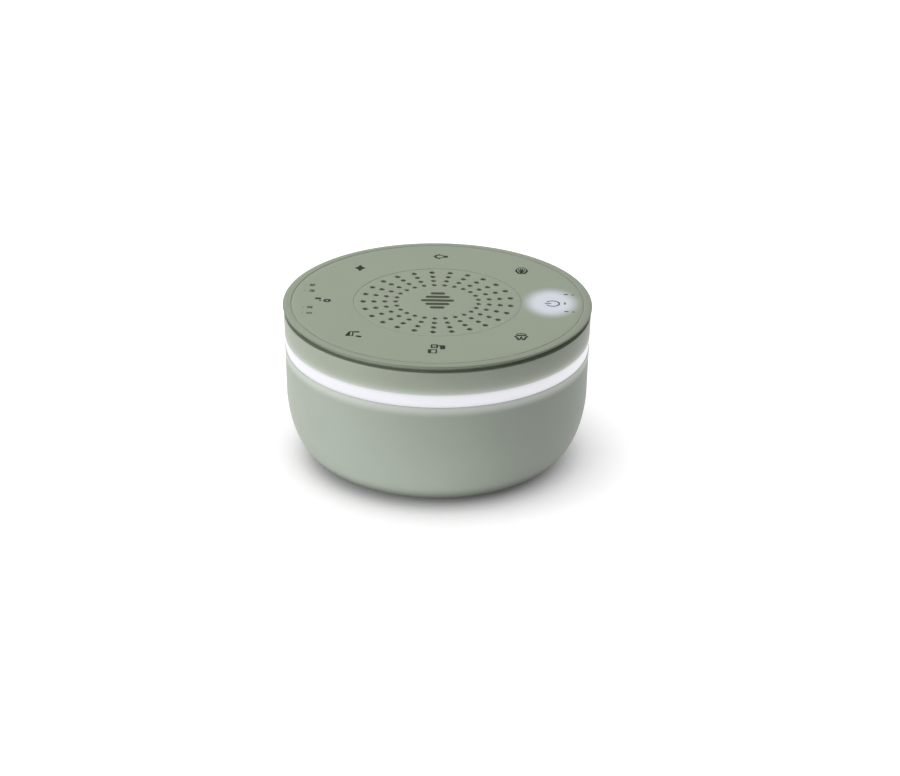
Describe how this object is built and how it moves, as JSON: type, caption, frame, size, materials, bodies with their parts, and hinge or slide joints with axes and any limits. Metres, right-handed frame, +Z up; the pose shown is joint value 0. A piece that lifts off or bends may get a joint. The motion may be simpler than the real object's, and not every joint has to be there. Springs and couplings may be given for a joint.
{
  "type": "white noise sound machine",
  "caption": "Round bedside sound machine with a perforated speaker grille, touch symbols on its flat top, a glowing band round its side and a twist-off battery door.",
  "frame": {"origin": "middle of the plane that the feet stand on", "axes": "+Z up through the middle of the speaker, +X from the middle towards the power key, +Y to the left of +X seen from above"},
  "size_m": [0.11, 0.11, 0.0584],
  "materials": {
    "shell": "matte, warm grey green",
    "shell_under": "matte, warm grey green",
    "rim": "satin, grey green",
    "panel": "matte, grey green, printed symbols",
    "light_ring": "frosted, translucent white, lit from behind",
    "screen_cloth": "fine black cloth",
    "steel_dark": "black coated pressed steel",
    "steel_plated": "zinc plated",
    "ferrite": "dull ferrite",
    "hardboard": "brown pressed board",
    "cone_paper": "pressed paper",
    "copper": "enamelled copper",
    "black_rubber": "matte",
    "spider_cloth": "resin dipped cloth",
    "black_foam": "foam",
    "screw_steel": "zinc plated",
    "circuit_board": "green solder mask",
    "black_plastic": "moulded black",
    "lamp_face": "clear over phosphor",
    "capacitor_sleeve": "shrunk sleeve",
    "white_plastic": "moulded white",
    "strip_tape": "flexible printed strip",
    "inner_plastic": "matte",
    "cell_sleeve": "printed sleeve",
    "plated_contact": "nickel plated",
    "red_wire": "wire sleeve",
    "black_wire": "wire sleeve",
    "yellow_wire": "wire sleeve",
    "white_wire": "wire sleeve",
    "foot_rubber": "matte",
    "key_plastic": "moulded",
    "button_plastic": "moulded"
  },
  "bodies": {
    "housing": {"lower_bowl": "shell", "light_ring": "light_ring", "upper_band": "shell", "top_cover": "rim", "control_panel": "panel", "speaker_grille": "panel", "dust_screen": "screen_cloth", "speaker_basket": "steel_dark", "speaker_front_plate": "steel_plated", "speaker_magnet": "ferrite", "speaker_back_plate": "steel_plated", "speaker_terminals": "hardboard", "speaker_surround": "black_rubber", "speaker_spider": "spider_cloth", "speaker_gasket": "black_foam", "speaker_screws": "screw_steel", "control_board": "circuit_board", "board_screws": "screw_steel", "switch_bodies": "black_plastic", "key_lamps": "lamp_face", "control_chip": "black_plastic", "amplifier_chip": "black_plastic", "capacitors": "capacitor_sleeve", "wire_sockets": "white_plastic", "lamp_trough": "white_plastic", "lamp_strip": "strip_tape", "ring_lamps": "lamp_face", "battery_tray": "inner_plastic", "tray_screws": "screw_steel", "battery_cells": "cell_sleeve", "battery_contacts": "plated_contact", "battery_springs": "plated_contact", "battery_plus_lead": "red_wire", "battery_minus_lead": "black_wire", "speaker_leads": "yellow_wire", "lamp_leads": "white_wire", "housing_screws": "screw_steel"},
    "power_key_body": {"power_key": "key_plastic", "power_switch_button": "button_plastic"},
    "fan_key_body": {"fan_key": "key_plastic", "fan_switch_button": "button_plastic"},
    "lamp_key_body": {"lamp_key": "key_plastic", "lamp_switch_button": "button_plastic"},
    "star_key_body": {"star_key": "key_plastic", "star_switch_button": "button_plastic"},
    "timer_key_body": {"timer_key": "key_plastic", "timer_switch_button": "button_plastic"},
    "song_key_body": {"song_key": "key_plastic", "song_switch_button": "button_plastic"},
    "surf_key_body": {"surf_key": "key_plastic", "surf_switch_button": "button_plastic"},
    "rain_key_body": {"rain_key": "key_plastic", "rain_switch_button": "button_plastic"},
    "cone": {"speaker_cone": "cone_paper", "voice_coil": "copper", "dust_cap": "cone_paper"},
    "door": {"battery_door": "shell_under", "rubber_feet": "foot_rubber"}
  },
  "joints": [
    {"name": "power_key_press", "type": "slide", "parent": "housing", "child": "power_key_body", "axis": [0, 0, -1], "range_m": [0, 0.0003], "stiffness_N_per_m": 5300},
    {"name": "fan_key_press", "type": "slide", "parent": "housing", "child": "fan_key_body", "axis": [0, 0, -1], "range_m": [0, 0.0003], "stiffness_N_per_m": 5300},
    {"name": "lamp_key_press", "type": "slide", "parent": "housing", "child": "lamp_key_body", "axis": [0, 0, -1], "range_m": [0, 0.0003], "stiffness_N_per_m": 5300},
    {"name": "star_key_press", "type": "slide", "parent": "housing", "child": "star_key_body", "axis": [0, 0, -1], "range_m": [0, 0.0003], "stiffness_N_per_m": 5300},
    {"name": "timer_key_press", "type": "slide", "parent": "housing", "child": "timer_key_body", "axis": [0, 0, -1], "range_m": [0, 0.0003], "stiffness_N_per_m": 5300},
    {"name": "song_key_press", "type": "slide", "parent": "housing", "child": "song_key_body", "axis": [0, 0, -1], "range_m": [0, 0.0003], "stiffness_N_per_m": 5300},
    {"name": "surf_key_press", "type": "slide", "parent": "housing", "child": "surf_key_body", "axis": [0, 0, -1], "range_m": [0, 0.0003], "stiffness_N_per_m": 5300},
    {"name": "rain_key_press", "type": "slide", "parent": "housing", "child": "rain_key_body", "axis": [0, 0, -1], "range_m": [0, 0.0003], "stiffness_N_per_m": 5300},
    {"name": "cone_slide", "type": "slide", "parent": "housing", "child": "cone", "axis": [0, 0, 1], "range_m": [-0.0008, 0.0008], "stiffness_N_per_m": 1500, "deforming": ["speaker_surround", "speaker_spider"]},
    {"name": "door_turn", "type": "hinge", "parent": "housing", "child": "door", "pos_m": [0, 0, 0.0015], "axis": [0, 0, 1], "range_deg": [0, 18]}
  ]
}
